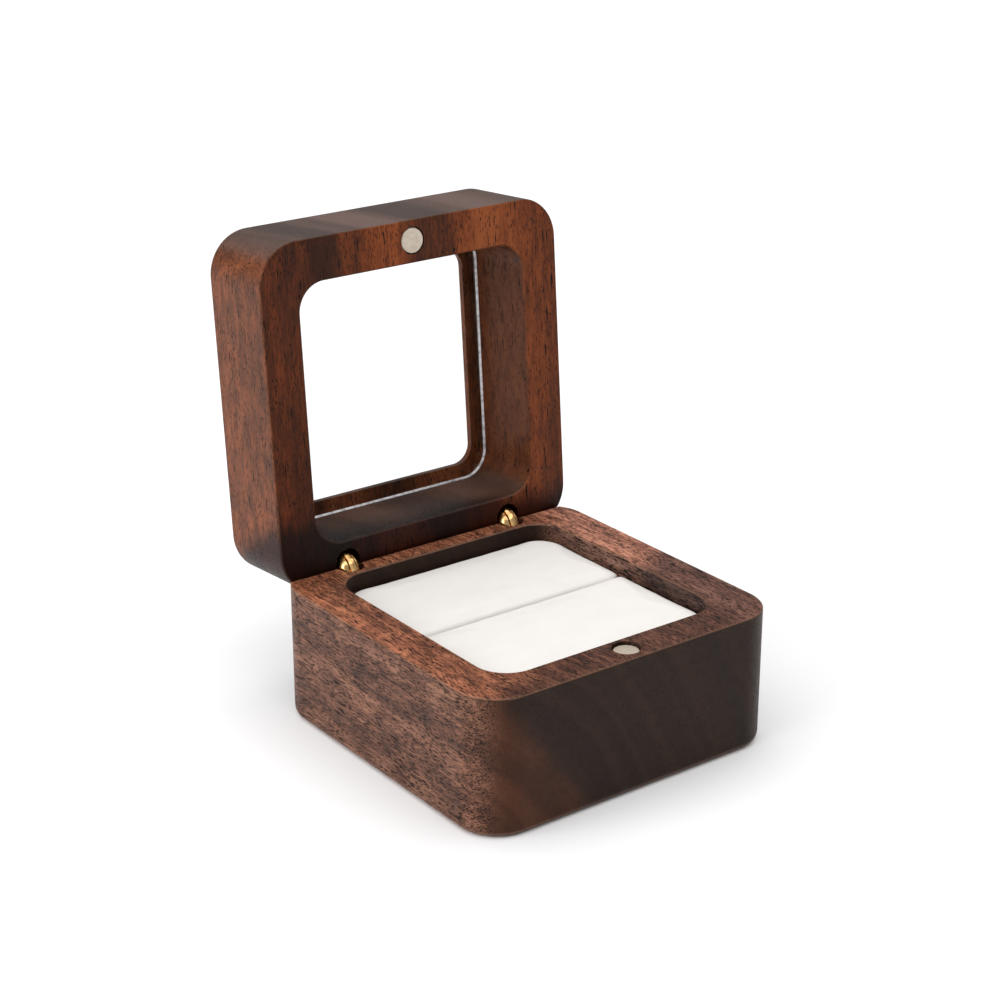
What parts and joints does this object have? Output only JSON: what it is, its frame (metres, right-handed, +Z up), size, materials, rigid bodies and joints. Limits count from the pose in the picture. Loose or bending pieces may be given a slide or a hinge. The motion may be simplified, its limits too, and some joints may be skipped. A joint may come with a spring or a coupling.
{
  "type": "ring box",
  "caption": "Square walnut ring box standing open: windowed lid with a clear pane on brass barrel hinges, magnetic closure, cream velvet cushion with a ring slot.",
  "frame": {"origin": "centre of the base block's underside, on the surface that the box stands on", "axes": "+Z up, +Y to the back where the hinges are, X along the hinge line; the lid stands open at rest"},
  "size_m": [0.06, 0.0777, 0.0808],
  "materials": {
    "walnut": "satin",
    "nickel": "satin",
    "brass": "polished",
    "pane": "gloss",
    "adhesive": "gloss",
    "velvet": "matte",
    "foam": "matte",
    "card": "matte"
  },
  "bodies": {
    "base": {"base_block": "walnut", "base_magnet": "nickel", "insert_board": "card", "front_foam": "foam", "front_velvet": "velvet", "rear_foam": "foam", "rear_velvet": "velvet", "left_base_barrel": "brass", "left_base_pin": "brass", "right_base_barrel": "brass", "right_base_pin": "brass"},
    "links": {"left_centre_link": "brass", "left_outer_link": "brass", "left_inner_link": "brass", "right_centre_link": "brass", "right_outer_link": "brass", "right_inner_link": "brass"},
    "lid": {"lid_frame": "walnut", "lid_magnet": "nickel", "window_pane": "pane", "pane_adhesive": "adhesive", "left_lid_barrel": "brass", "left_lid_pin": "brass", "right_lid_barrel": "brass", "right_lid_pin": "brass"}
  },
  "joints": [
    {"name": "links_on_base", "type": "hinge", "parent": "base", "child": "links", "pos_m": [0, 0.0264, 0.0228], "axis": [1, 0, 0], "range_deg": [0, 47.15]},
    {"name": "lid_on_links", "type": "hinge", "parent": "links", "child": "lid", "pos_m": [0, 0.02823, 0.0245], "axis": [1, 0, 0], "range_deg": [0, 47.15]}
  ],
  "couplings": [
    {"joint": "lid_on_links", "follows": "links_on_base", "ratio": 1}
  ]
}
